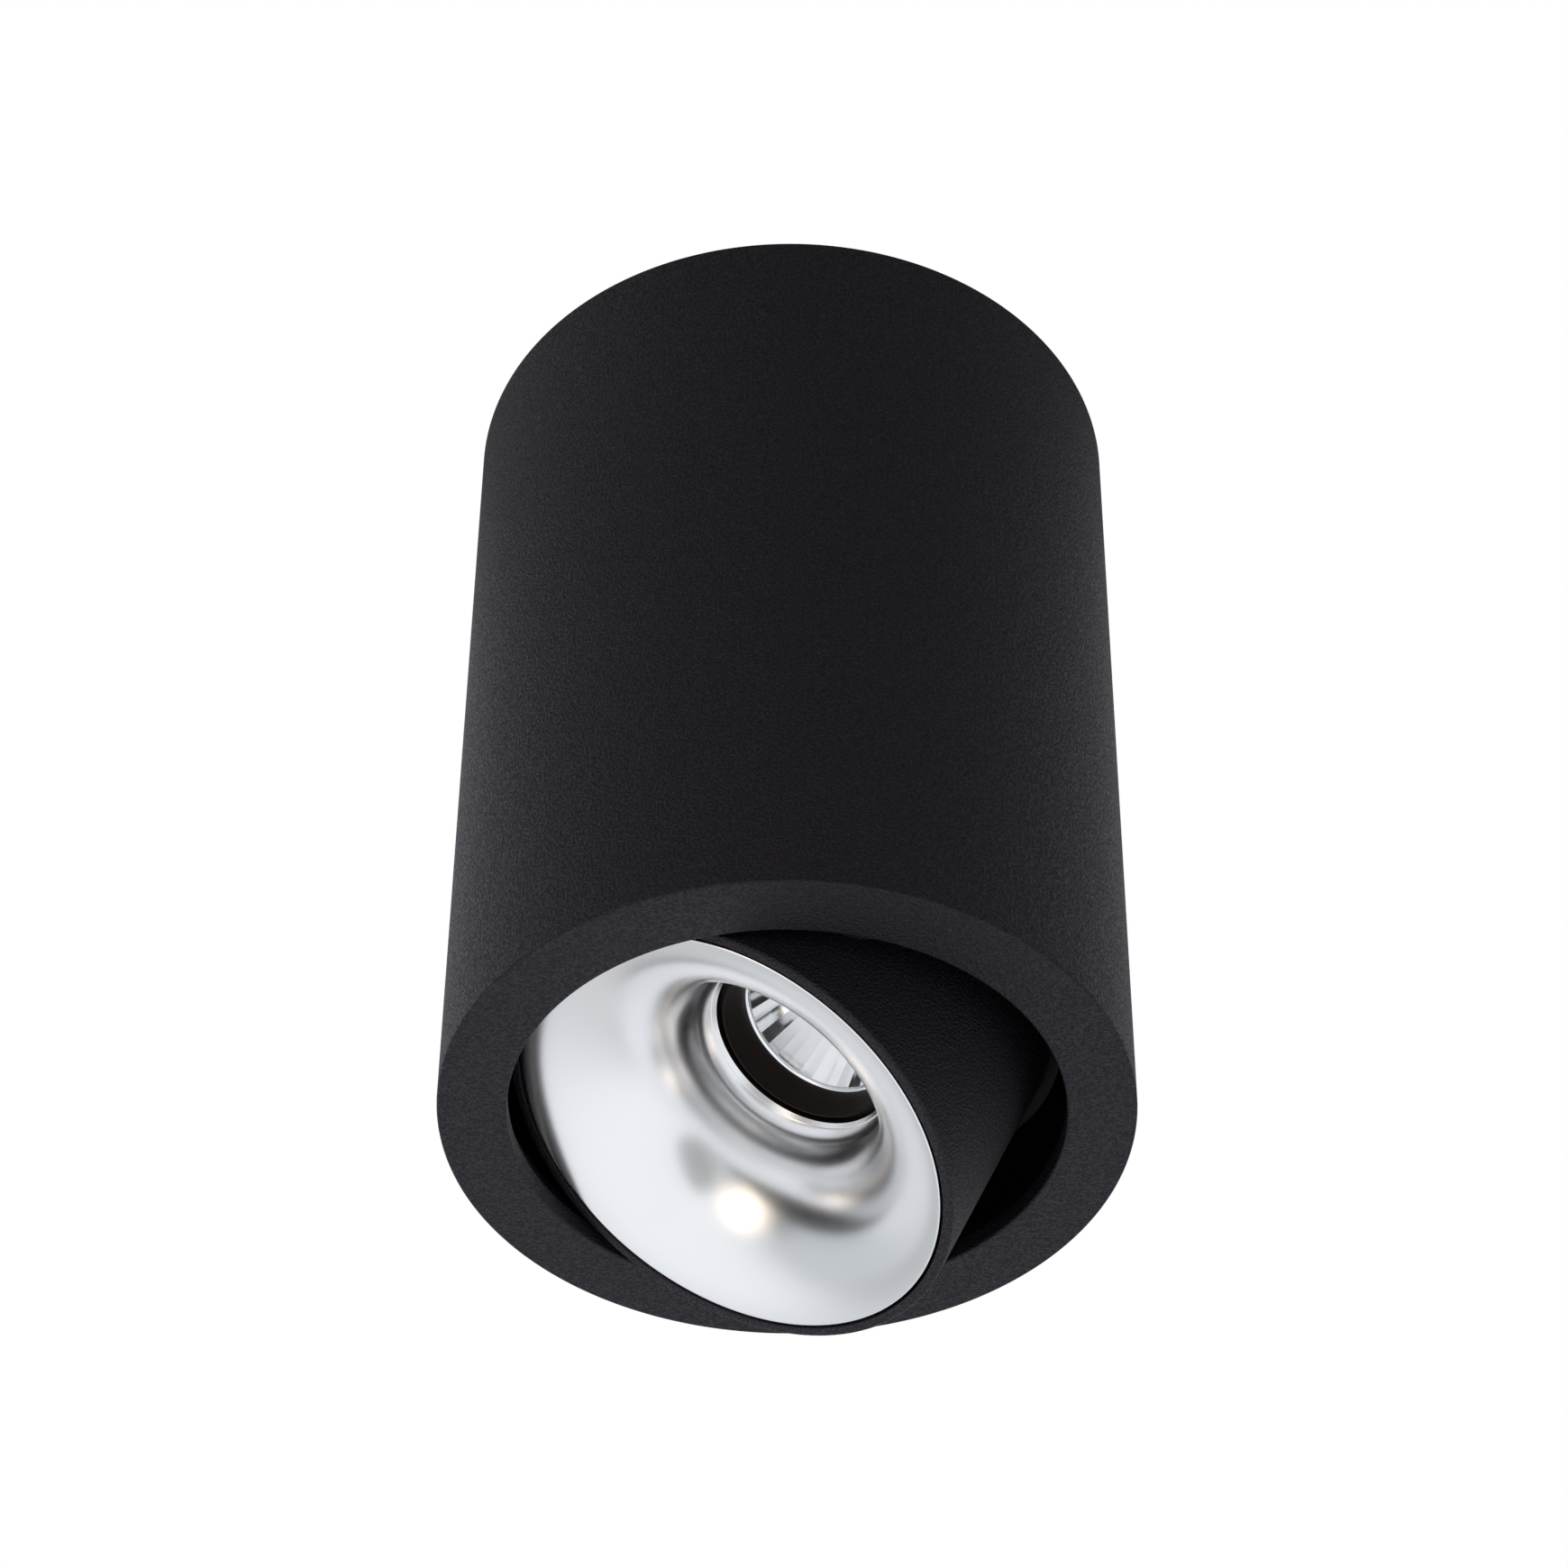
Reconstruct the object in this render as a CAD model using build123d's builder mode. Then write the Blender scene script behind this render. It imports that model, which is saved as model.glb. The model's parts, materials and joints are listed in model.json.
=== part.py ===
from build123d import *
import os
from math import cos, hypot, radians, sin, sqrt, tan

# Surface mounted ceiling light: a fixed cylinder with a spot head that turns and tilts in its mouth.
# Millimetres, +Z up. The origin is the centre of the face that lies against the ceiling.
# The head is built on its own tilted plane, whose origin is the middle of the tilt axis.

os.makedirs("parts", exist_ok=True)

# Pose of the head as it was seen
aim_angle = -165  # direction that the head tilts towards, from +X
tilt = 29.4  # head axis from straight down
tilt_margin = 0.6  # travel left before the tilt stop

# Light source
emitter_radius = 4.6
emitter_height = 0.4
board_side = 19
board_thickness = 1.4
pad_thickness = 0.3
board_fit = 0.2

# Faceted optic
optic_radius = 11.8  # inside its rounded lip
optic_rear_radius = 6.5
optic_length = 11.5
optic_wall = 0.9
optic_fit = 0.1
optic_lip_round = 0.6
optic_lip_flat = 0.2
optic_lip_thickness = 1
facet_relief = 0.05  # flats of the facets behind the lip
facet_columns = 36
facet_rows = 4

# Baffle ring
baffle_flare = 0.55  # radial growth of its cone towards the mouth
baffle_ridge = 0.3
baffle_groove = 1
baffle_groove_depth = 1.2
baffle_depth = 4.25
baffle_land = 0.6
baffle_wall = 3.8

# LED holder and its screws
holder_height = 4
holder_edge = 3
holder_fit = 0.5
m3_radius = 1.5
m3_head_radius = 2.6
m3_head_height = 1.8
screw_clearance = 0.1
head_gap = 0.4  # free ring around a screw head
screw_bite = 2.3  # depth of a short screw in what it holds to
screw_reserve = 1.5  # blind hole past the end of its screw

# Bell reflector
sheet = 1
neck_seat = 1.15  # inner cone of the stepped neck, across and deep
neck_seat_depth = 1.5
neck_step = 0.5  # outer cone of the neck
neck_step_depth = 1.45
flare_start = 4.2  # wall from the head's axis where the flare begins
bell_edge_round = 0.2
mouth_depth = 18.1  # tilt axis to the mouth
skirt_depth = 4

# Head shell
disc_depth = 23  # tilt axis to the heat sink
shell_wall = 2.2
shell_taper = 6.6
shell_flange = 5.15
shell_flange_thickness = 2.5
rim_width = 1.6
rim_gap = 0.4
rim_round = 0.45

# Heat sink
sink_base = 3
sink_edge_round = 0.35
fin_height = 11
fin_count = 18
fin_thickness = 1.6
hub_radius = 8
sink_screw_count = 3
bush_wall = 0.8
bush_flange = 0.5
bush_bore = 1.4
bush_fit = 0.05

# Tilt pivots and their stops
pivot_radius = 2.5
pivot_thread_radius = 2
pivot_thread_length = 6
pivot_head_radius = 3.5
pivot_head_height = 1.8
pivot_socket_radius = 1.4
pivot_socket_depth = 0.9
running_fit = 0.05
washer_width = 2
friction_washer = 0.8
spring_washer = 0.5
face_gap = 0.05
boss_radius = 6
stop_ring = 6.5
stop_pin_radius = 1.2
stop_pin_depth = 3
stop_slot_fit = 0.2
stop_slack = 1.5  # degrees of slot past each end of the travel
stop_boss_wall = 1.4

# Turntable
ear_radius = 9.6
ear_thickness = 2
ear_inset = 0.4
flange_thickness = 2
turntable_gap = 0.7  # swinging head to turntable
stop_width = 3.6
stop_reach = 1
stop_gap = 0.3
glide_thickness = 0.8
glide_gap = 0.1
snap_thickness = 1
snap_gap = 0.2
snap_clearance = 0.35
snap_hold = 0.9
snap_groove = 1.25
snap_fit = 0.05
snap_opening = 20  # degrees left open in the ring

# Housing
body_height = 135
wall = 3
lip_thickness = 3
swing_clearance = 0.5  # swinging rim to lip
edge_round = 0.4

# Ceiling plate
plate_thickness = 1.5
plate_fit = 0.4
lug_width = 12
lug_drop = 14
set_screw_drop = 8
set_screw_radius = 2
set_screw_grip = 3
set_screw_inset = 0.4
set_screw_socket = 1.2
set_screw_socket_depth = 2
thread_fit = 0.02
slot_spacing = 60
slot_length = 10
slot_width = 4.5
cable_bore = 5.5
cable_bush_wall = 1.5
cable_bush_flange = 2

# Driver and terminal block
driver_width = 34
driver_depth = 22
driver_lid_thickness = 3
driver_round = 2.5
driver_top_gap = 6.5
driver_wall_gap = 3.5
driver_screw_inset = 8
driver_wire_radius = 1.5
driver_wire_spacing = 7
driver_wire_depth = 6
head_room = 10  # swinging head to driver
block_pitch = 9
block_poles = 3
block_depth = 17
block_height = 13
block_offset = 22
block_wire_radius = 1.7
block_wire_drop = 5
block_screw_radius = 1.9
block_screw_height = 4
block_screw_spacing = 9
block_well_fit = 0.2
block_well_depth = 6
block_slit = 0.8
block_slit_depth = 3

# Head sizes from the light source outwards, heights along the head's axis from the tilt axis
board_back = disc_depth - pad_thickness
board_front = board_back - board_thickness
optic_back = board_front - optic_fit
optic_front = optic_back - optic_length
facet_front = optic_front + optic_lip_round
baffle_front = optic_front - baffle_land - baffle_depth
neck_seat_front = baffle_front - neck_seat_depth
neck_front = neck_seat_front - neck_step_depth
holder_front = disc_depth - holder_height
optic_opening = optic_radius + optic_lip_round + optic_lip_flat
optic_lip_radius = optic_opening + optic_wall
baffle_bore = optic_lip_radius + optic_fit
baffle_radius = baffle_bore + baffle_wall
baffle_mouth = optic_opening + baffle_flare
groove_radius = baffle_mouth + baffle_ridge
neck_hole_radius = groove_radius + baffle_groove
neck_seat_radius = neck_hole_radius + neck_seat
neck_radius = neck_seat_radius + neck_step
holder_screw_ring = baffle_radius + head_gap + m3_head_radius
holder_radius = holder_screw_ring + holder_edge
holder_flat = baffle_radius + head_gap
shell_bore = holder_radius + holder_fit
sink_screw_ring = shell_bore + shell_flange / 2
shell_end_radius = shell_bore + shell_flange + shell_wall
rim_radius = shell_end_radius + (mouth_depth + disc_depth) * tan(radians(shell_taper))
reflector_radius = rim_radius - rim_width - rim_gap
ledge_height = skirt_depth - mouth_depth
sink_back = disc_depth + sink_base
fin_radius = sink_screw_ring - m3_head_radius - head_gap
back_reach = hypot(fin_radius, sink_back + fin_height)
lead_ring = holder_flat + head_gap + bush_bore + bush_wall + bush_flange

# The rim and the heat sink's disc swing in one sphere
swing_radius = hypot(rim_radius, mouth_depth)
sink_radius = sqrt(swing_radius**2 - disc_depth**2)

# Turntable and housing around that sphere, heights from the housing's bottom face
flange_base = lip_thickness + glide_thickness + glide_gap
flange_top = flange_base + flange_thickness
snap_base = flange_top + snap_gap
snap_top = snap_base + snap_thickness
pivot_height = snap_top + head_gap + pivot_head_radius
flange_inner = swing_radius + turntable_gap
ear_face = flange_inner + ear_inset
ear_back = ear_face + ear_thickness
boss_face = ear_face - friction_washer - 2 * face_gap
snap_inner = hypot(ear_back, ear_radius) + snap_clearance
flange_outer = snap_inner + snap_hold
cavity_radius = flange_outer + stop_gap + stop_reach
body_radius = cavity_radius + wall
mouth_radius = sqrt(swing_radius**2 - (pivot_height - lip_thickness) ** 2) + swing_clearance
bottom = -body_height
pivot_z = bottom + pivot_height
tilt_stop = tilt + tilt_margin

# Upright plane of the turntable and tilted plane of the head, X towards the aim and Y along the tilt axis
aim = Vector(cos(radians(aim_angle)), sin(radians(aim_angle)), 0)
yoke = Plane(origin=(0, 0, pivot_z), x_dir=aim, z_dir=(0, 0, 1))
lean = radians(tilt)
head_across = yoke.x_dir * cos(lean) + yoke.z_dir * sin(lean)
head_up = yoke.z_dir * cos(lean) - yoke.x_dir * sin(lean)
head = Plane(origin=yoke.origin, x_dir=head_across, z_dir=head_up)
head_section = Plane(origin=head.origin, x_dir=head.x_dir, z_dir=-head.y_dir)
head_axis = Axis(head.origin, head.z_dir)


def pivot_face(frame, side, distance):
    # Plane square to the tilt axis, facing out, with its Y up the frame
    origin = frame.origin + frame.y_dir * (side * distance)
    return Plane(origin=origin, x_dir=frame.x_dir * -side, z_dir=frame.y_dir * side)


def stop_place(side):
    # Stop pin on the head's pivot face, upright at half the tilt
    half_travel = radians(tilt_stop / 2)
    return (-side * stop_ring * sin(half_travel), stop_ring * cos(half_travel))


def shell_radius(height):
    return rim_radius - (mouth_depth + height) * tan(radians(shell_taper))


def optic_facet_radius(height):
    # Parabola over the flats, from behind the lip to the rear opening of the optic
    share = (height - facet_front) / (optic_back - facet_front)
    front_radius = optic_radius + facet_relief
    return sqrt(front_radius**2 + share * (optic_rear_radius**2 - front_radius**2))


# Housing: cylinder, lip, snap ring groove, turn stop and set screw holes
with BuildPart() as housing:
    with BuildSketch(Plane.XZ):
        with BuildLine():
            Polyline(
                (mouth_radius, bottom),
                (body_radius, bottom),
                (body_radius, 0),
                (cavity_radius, 0),
                (cavity_radius, bottom + snap_top + snap_fit),
                (cavity_radius + snap_groove, bottom + snap_top + snap_fit),
                (cavity_radius + snap_groove, bottom + snap_base - snap_fit),
                (cavity_radius, bottom + snap_base - snap_fit),
                (cavity_radius, bottom + lip_thickness),
                (mouth_radius, bottom + lip_thickness),
                close=True,
            )
        make_face()
    revolve(axis=Axis.Z)
    bottom_edges = housing.edges().filter_by(GeomType.CIRCLE).group_by(Axis.Z)[0]
    fillet(bottom_edges, edge_round)
    with BuildSketch(Plane.XY.offset(bottom + lip_thickness)):
        with PolarLocations(cavity_radius - stop_reach, 1, start_angle=aim_angle + 180):
            Rectangle(stop_reach + wall / 2, stop_width, align=(Align.MIN, Align.CENTER))
    extrude(amount=flange_top - lip_thickness)
    with BuildSketch(Plane.YZ):
        with Locations((0, -set_screw_drop)):
            Circle(set_screw_radius + screw_clearance)
    extrude(amount=body_radius, both=True, mode=Mode.SUBTRACT)

# Glide ring on the lip
with BuildPart() as glide_ring:
    with BuildSketch(Plane.XY.offset(bottom + lip_thickness)):
        Circle(flange_outer)
        Circle(flange_inner, mode=Mode.SUBTRACT)
    extrude(amount=glide_thickness)

# Snap ring, open at one place, sprung into the groove of the housing
with BuildPart() as snap_ring:
    with BuildSketch(Plane.XZ):
        with Locations((snap_inner, bottom + snap_base)):
            snap_outer = cavity_radius + snap_groove - snap_fit
            Rectangle(snap_outer - snap_inner, snap_thickness, align=(Align.MIN, Align.MIN))
    revolve(axis=Axis.Z, revolution_arc=360 - snap_opening)

# Turntable: flange with a stop tab and two slotted ears
ear_foot = pivot_height - flange_base
stop_travel = tilt_stop + 2 * stop_slack
stop_line = CenterArc((0, 0), stop_ring, 90 - stop_travel / 2, stop_travel)
with BuildPart() as turntable:
    with BuildSketch(Plane.XY.offset(bottom + flange_base)):
        Circle(flange_outer)
        with PolarLocations(flange_outer + stop_reach, 1, start_angle=aim_angle):
            Rectangle(2 * stop_reach, stop_width, align=(Align.MAX, Align.CENTER))
        Circle(flange_inner, mode=Mode.SUBTRACT)
    extrude(amount=flange_thickness)
    for side in (1, -1):
        with BuildSketch(pivot_face(yoke, side, ear_face)):
            Circle(ear_radius)
            Rectangle(2 * ear_radius, ear_radius, align=(Align.CENTER, Align.MAX), mode=Mode.SUBTRACT)
            Rectangle(2 * ear_radius, ear_foot, align=(Align.CENTER, Align.MAX))
            Circle(pivot_radius + running_fit, mode=Mode.SUBTRACT)
            SlotArc(stop_line, 2 * (stop_pin_radius + stop_slot_fit), mode=Mode.SUBTRACT)
        extrude(amount=ear_thickness)

# Friction washers between the ears and the head's bosses
with BuildPart() as friction_washers:
    for side in (1, -1):
        with BuildSketch(pivot_face(yoke, side, boss_face + face_gap)):
            Circle(pivot_radius + washer_width)
            Circle(pivot_radius + running_fit, mode=Mode.SUBTRACT)
        extrude(amount=friction_washer)

# Head shell: tapered cup with a pivot boss on each side, hollowed out last
with BuildPart() as head_shell:
    with BuildSketch(head_section):
        with BuildLine():
            Polyline(
                (0, -mouth_depth),
                (rim_radius, -mouth_depth),
                (shell_end_radius, disc_depth),
                (0, disc_depth),
                close=True,
            )
        make_face()
    revolve(axis=head_axis)
    for side in (1, -1):
        with BuildSketch(pivot_face(head, side, boss_face)):
            Circle(boss_radius)
            with Locations(stop_place(side)):
                Circle(stop_pin_radius + stop_boss_wall)
            make_hull()
        extrude(amount=shell_bore - boss_face)
    rim_edge = head_shell.edges().filter_by(GeomType.CIRCLE).sort_by(SortBy.RADIUS)[-1]
    fillet(rim_edge, rim_round)
    with BuildSketch(head_section):
        with BuildLine():
            flange_front = disc_depth - shell_flange_thickness
            Polyline(
                (0, -mouth_depth),
                (rim_radius - rim_width, -mouth_depth),
                (rim_radius - rim_width, ledge_height),
                (shell_radius(ledge_height) - shell_wall, ledge_height),
                (shell_radius(flange_front) - shell_wall, flange_front),
                (shell_bore, flange_front),
                (shell_bore, disc_depth),
                (0, disc_depth),
                close=True,
            )
        make_face()
    revolve(axis=head_axis, mode=Mode.SUBTRACT)
    for side in (1, -1):
        with BuildSketch(pivot_face(head, side, boss_face)):
            Circle(pivot_thread_radius + thread_fit)
        extrude(amount=-pivot_thread_length - screw_clearance, mode=Mode.SUBTRACT)
        with BuildSketch(pivot_face(head, side, boss_face)):
            with Locations(stop_place(side)):
                Circle(stop_pin_radius + thread_fit)
        extrude(amount=-stop_pin_depth, mode=Mode.SUBTRACT)
    with BuildSketch(head.offset(disc_depth)):
        with PolarLocations(sink_screw_ring, sink_screw_count):
            Circle(m3_radius + thread_fit)
    extrude(amount=-shell_flange_thickness, mode=Mode.SUBTRACT)

# Reflector: spun bell with a stepped neck and a turned-back skirt
with BuildPart() as reflector:
    with BuildSketch(head_section):
        with BuildLine():
            flare_turn = (sin(radians(flare_start)), -cos(radians(flare_start)))
            mouth_edge = (reflector_radius, -mouth_depth)
            skirt_inside = (reflector_radius - sheet, sheet - mouth_depth)
            neck_back = (neck_radius + sheet, neck_front)
            Polyline(
                (neck_radius + sheet, baffle_front),
                (neck_hole_radius, baffle_front),
                (neck_seat_radius, neck_seat_front),
                (neck_radius, neck_front),
            )
            TangentArc((neck_radius, neck_front), mouth_edge, tangent=flare_turn)
            Polyline(
                mouth_edge,
                (reflector_radius, ledge_height),
                (reflector_radius - sheet, ledge_height),
                skirt_inside,
            )
            TangentArc(neck_back, skirt_inside, tangent=flare_turn)
            Line(neck_back, (neck_radius + sheet, baffle_front))
        make_face()
    revolve(axis=head_axis)
    mouth_circle = reflector.edges().filter_by(GeomType.CIRCLE).group_by(head_axis)[0]
    fillet(mouth_circle, bell_edge_round)

# Baffle ring: black cone with a ridge and a groove at the bell, and a tube down to the LED holder
with BuildPart() as baffle_ring:
    with BuildSketch(head_section):
        with BuildLine():
            groove_floor = baffle_front + baffle_groove_depth
            Polyline(
                (neck_hole_radius, groove_floor),
                (neck_hole_radius, baffle_front),
                (baffle_radius, baffle_front),
                (baffle_radius, holder_front),
                (baffle_bore, holder_front),
                (baffle_bore, optic_front),
                (optic_opening, optic_front),
                (optic_opening, optic_front - baffle_land),
                (baffle_mouth, baffle_front),
                (groove_radius, baffle_front),
                (groove_radius, groove_floor),
                close=True,
            )
        make_face()
    revolve(axis=head_axis)

# Faceted optic: round outside, flat mirror facets inside, with a rounded lip in front of them
with BuildPart() as faceted_optic:
    row_height = (optic_back - facet_front) / facet_rows
    row_heights = [facet_front + row * row_height for row in range(facet_rows + 1)]
    with BuildSketch(head_section):
        with BuildLine():
            lip_back = optic_front + optic_lip_thickness
            lip_inside = (optic_radius, facet_front)
            lip_crown = (optic_radius + optic_lip_round, optic_front)
            outside = [(optic_facet_radius(height) + optic_wall, height) for height in row_heights[1:]]
            Polyline(
                lip_inside,
                (0, facet_front),
                (0, optic_back),
                *reversed(outside),
                (optic_lip_radius, lip_back),
                (optic_lip_radius, optic_front),
                lip_crown,
            )
            RadiusArc(lip_crown, lip_inside, optic_lip_round)
        make_face()
    revolve(axis=head_axis)
    for height in row_heights:
        with BuildSketch(head.offset(height)):
            RegularPolygon(optic_facet_radius(height), facet_columns, major_radius=False)
    loft(ruled=True, mode=Mode.SUBTRACT)

# LED holder: round clamp with two flats, over the board
with BuildPart() as led_holder:
    with BuildSketch(head.offset(holder_front)):
        Circle(holder_radius)
        Rectangle(2 * holder_radius, 2 * holder_flat, mode=Mode.INTERSECT)
        Circle(optic_facet_radius(holder_front) + optic_wall + optic_fit, mode=Mode.SUBTRACT)
        with PolarLocations(holder_screw_ring, 2):
            Circle(m3_radius + screw_clearance, mode=Mode.SUBTRACT)
    extrude(amount=holder_height)
    with BuildSketch(head.offset(board_front)):
        Rectangle(board_side + 2 * board_fit, board_side + 2 * board_fit)
    extrude(amount=disc_depth - board_front, mode=Mode.SUBTRACT)

# LED board, its emitter and the pad behind it
with BuildPart() as led_board:
    with BuildSketch(head.offset(board_front)):
        Rectangle(board_side, board_side)
    extrude(amount=board_thickness)

with BuildPart() as led_emitter:
    with BuildSketch(head.offset(board_front)):
        Circle(emitter_radius)
    extrude(amount=-emitter_height)

with BuildPart() as thermal_pad:
    with BuildSketch(head.offset(board_back)):
        Rectangle(board_side, board_side)
    extrude(amount=pad_thickness)

# Heat sink: disc and radial fins around a hub
with BuildPart() as heat_sink:
    with BuildSketch(head.offset(disc_depth)):
        Circle(sink_radius)
    extrude(amount=sink_base)
    fillet(heat_sink.edges().filter_by(GeomType.CIRCLE), sink_edge_round)
    with BuildSketch(head.offset(sink_back)):
        Circle(hub_radius)
        with PolarLocations(0, fin_count):
            Rectangle(fin_radius, fin_thickness, align=(Align.MIN, Align.CENTER))
    extrude(amount=fin_height)
    with BuildSketch(head.offset(disc_depth)):
        with PolarLocations(sink_screw_ring, sink_screw_count):
            Circle(m3_radius + screw_clearance)
        with PolarLocations(holder_screw_ring, 2):
            Circle(m3_radius + thread_fit)
        with PolarLocations(lead_ring, 1, start_angle=90):
            Circle(bush_bore + bush_wall + bush_fit)
    extrude(amount=sink_base, mode=Mode.SUBTRACT)

# Lead bush in the heat sink
with BuildPart() as lead_bush:
    with BuildSketch(head.offset(disc_depth)):
        with PolarLocations(lead_ring, 1, start_angle=90):
            Circle(bush_bore + bush_wall)
            Circle(bush_bore, mode=Mode.SUBTRACT)
    extrude(amount=sink_base)
    with BuildSketch(head.offset(disc_depth)):
        with PolarLocations(lead_ring, 1, start_angle=90):
            Circle(bush_bore + bush_wall + bush_flange)
            Circle(bush_bore, mode=Mode.SUBTRACT)
    extrude(amount=-bush_wall)

# Screws of the LED holder, heads towards the mouth
with BuildPart() as holder_screws:
    with BuildSketch(head.offset(holder_front)):
        with PolarLocations(holder_screw_ring, 2):
            Circle(m3_radius)
    extrude(amount=holder_height + screw_bite)
    with BuildSketch(head.offset(holder_front)):
        with PolarLocations(holder_screw_ring, 2):
            Circle(m3_head_radius)
    extrude(amount=-m3_head_height)

# Screws of the heat sink, heads behind its disc
with BuildPart() as sink_screws:
    with BuildSketch(head.offset(sink_back)):
        with PolarLocations(sink_screw_ring, sink_screw_count):
            Circle(m3_radius)
    extrude(amount=-sink_base - screw_bite)
    with BuildSketch(head.offset(sink_back)):
        with PolarLocations(sink_screw_ring, sink_screw_count):
            Circle(m3_head_radius)
    extrude(amount=m3_head_height)

# Pivot screws: thread in the boss, shoulder in the ear, socket head outside
shoulder_end = ear_back + spring_washer + 2 * face_gap
with BuildPart() as pivot_screws:
    for side in (1, -1):
        with BuildSketch(pivot_face(head, side, boss_face)):
            Circle(pivot_thread_radius)
        extrude(amount=-pivot_thread_length)
        with BuildSketch(pivot_face(head, side, boss_face)):
            Circle(pivot_radius)
        extrude(amount=shoulder_end - boss_face)
        with BuildSketch(pivot_face(head, side, shoulder_end)):
            Circle(pivot_head_radius)
        extrude(amount=pivot_head_height)
        with BuildSketch(pivot_face(head, side, shoulder_end + pivot_head_height)):
            RegularPolygon(pivot_socket_radius, 6)
        extrude(amount=-pivot_socket_depth, mode=Mode.SUBTRACT)

# Spring washers under the pivot heads
with BuildPart() as spring_washers:
    for side in (1, -1):
        with BuildSketch(pivot_face(head, side, ear_back + face_gap)):
            Circle(pivot_head_radius)
            Circle(pivot_radius + running_fit, mode=Mode.SUBTRACT)
        extrude(amount=spring_washer)

# Tilt stop pins: pressed into the bosses, running in the slots of the ears
with BuildPart() as tilt_stop_pins:
    for side in (1, -1):
        with BuildSketch(pivot_face(head, side, boss_face - stop_pin_depth)):
            with Locations(stop_place(side)):
                Circle(stop_pin_radius)
        extrude(amount=ear_back - boss_face + stop_pin_depth)

# Ceiling plate: disc with one flat, two lugs for the set screws and a long tongue for the driver
plate_radius = cavity_radius - plate_fit
lug_face = sqrt(plate_radius**2 - (lug_width / 2) ** 2)
tongue_back = sqrt((cavity_radius - driver_wall_gap) ** 2 - (driver_width / 2) ** 2)
tongue_front = tongue_back - plate_thickness
driver_top = -plate_thickness - driver_top_gap
driver_bottom = pivot_z + back_reach + head_room
driver_screw_heights = (driver_top - driver_screw_inset, driver_bottom + driver_screw_inset)
cable_bush_radius = cable_bore + cable_bush_wall
with BuildPart() as ceiling_plate:
    with BuildSketch(Plane.XY):
        Circle(plate_radius)
        with Locations((0, -tongue_back)):
            Rectangle(2 * plate_radius, plate_radius, align=(Align.CENTER, Align.MAX), mode=Mode.SUBTRACT)
        Circle(cable_bush_radius + bush_fit, mode=Mode.SUBTRACT)
        with GridLocations(slot_spacing, 0, 2, 1):
            SlotOverall(slot_length, slot_width, mode=Mode.SUBTRACT)
    extrude(amount=-plate_thickness)
    with BuildSketch(Plane.XY):
        with PolarLocations(lug_face, 2):
            Rectangle(plate_thickness, lug_width, align=(Align.MAX, Align.CENTER))
    extrude(amount=-lug_drop)
    with BuildSketch(Plane.YZ):
        with Locations((0, -set_screw_drop)):
            Circle(set_screw_radius + thread_fit)
    extrude(amount=plate_radius, both=True, mode=Mode.SUBTRACT)
    with BuildSketch(Plane.XY):
        with Locations((0, -tongue_front)):
            Rectangle(driver_width, plate_thickness, align=(Align.CENTER, Align.MAX))
    extrude(amount=driver_bottom)
    with BuildSketch(Plane.XZ.offset(tongue_front)):
        with Locations(*[(0, height) for height in driver_screw_heights]):
            Circle(m3_radius + screw_clearance)
    extrude(amount=plate_thickness, mode=Mode.SUBTRACT)

# Set screws with hex sockets, through the housing into the lugs
set_screw_outside = body_radius - set_screw_inset
set_screw_end = lug_face - plate_thickness - set_screw_grip
with BuildPart() as set_screws:
    for side in (1, -1):
        face = Plane((0, 0, -set_screw_drop), z_dir=(side, 0, 0))
        with BuildSketch(face.offset(set_screw_outside)):
            Circle(set_screw_radius)
        extrude(amount=set_screw_end - set_screw_outside)
        with BuildSketch(face.offset(set_screw_outside)):
            RegularPolygon(set_screw_socket, 6)
        extrude(amount=-set_screw_socket_depth, mode=Mode.SUBTRACT)

# Cable bush, flush with the ceiling and flanged inside
with BuildPart() as cable_bush:
    with BuildSketch(Plane.XY):
        Circle(cable_bush_radius)
        Circle(cable_bore, mode=Mode.SUBTRACT)
    extrude(amount=-plate_thickness)
    with BuildSketch(Plane.XY.offset(-plate_thickness)):
        Circle(cable_bush_radius + cable_bush_flange)
        Circle(cable_bore, mode=Mode.SUBTRACT)
    extrude(amount=-cable_bush_wall)

# Driver on the tongue: case with wire entries at both ends, and a lid on its inner side
case_depth = driver_depth - driver_lid_thickness
case_middle = case_depth / 2 - tongue_front
with BuildPart() as driver_case:
    with BuildSketch(Plane.XY.offset(driver_bottom)):
        with Locations((0, -tongue_front)):
            Rectangle(driver_width, case_depth, align=(Align.CENTER, Align.MIN))
    extrude(amount=driver_top - driver_bottom)
    back_edges = driver_case.edges().filter_by(Axis.Z).group_by(Axis.Y)[0]
    fillet(back_edges, driver_round)
    for height, inward in ((driver_top, -1), (driver_bottom, 1)):
        with BuildSketch(Plane.XY.offset(height)):
            with Locations((0, case_middle)):
                with GridLocations(driver_wire_spacing, 0, 2, 1):
                    Circle(driver_wire_radius)
        extrude(amount=inward * driver_wire_depth, mode=Mode.SUBTRACT)
    with BuildSketch(Plane.XZ.offset(tongue_front)):
        with Locations(*[(0, height) for height in driver_screw_heights]):
            Circle(m3_radius + thread_fit)
    extrude(amount=-screw_bite - screw_reserve, mode=Mode.SUBTRACT)

with BuildPart() as driver_lid:
    with BuildSketch(Plane.XY.offset(driver_bottom)):
        with Locations((0, case_depth - tongue_front)):
            Rectangle(driver_width, driver_lid_thickness, align=(Align.CENTER, Align.MIN))
    extrude(amount=driver_top - driver_bottom)
    front_edges = driver_lid.edges().filter_by(Axis.Z).group_by(Axis.Y)[-1]
    fillet(front_edges, driver_round)

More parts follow.
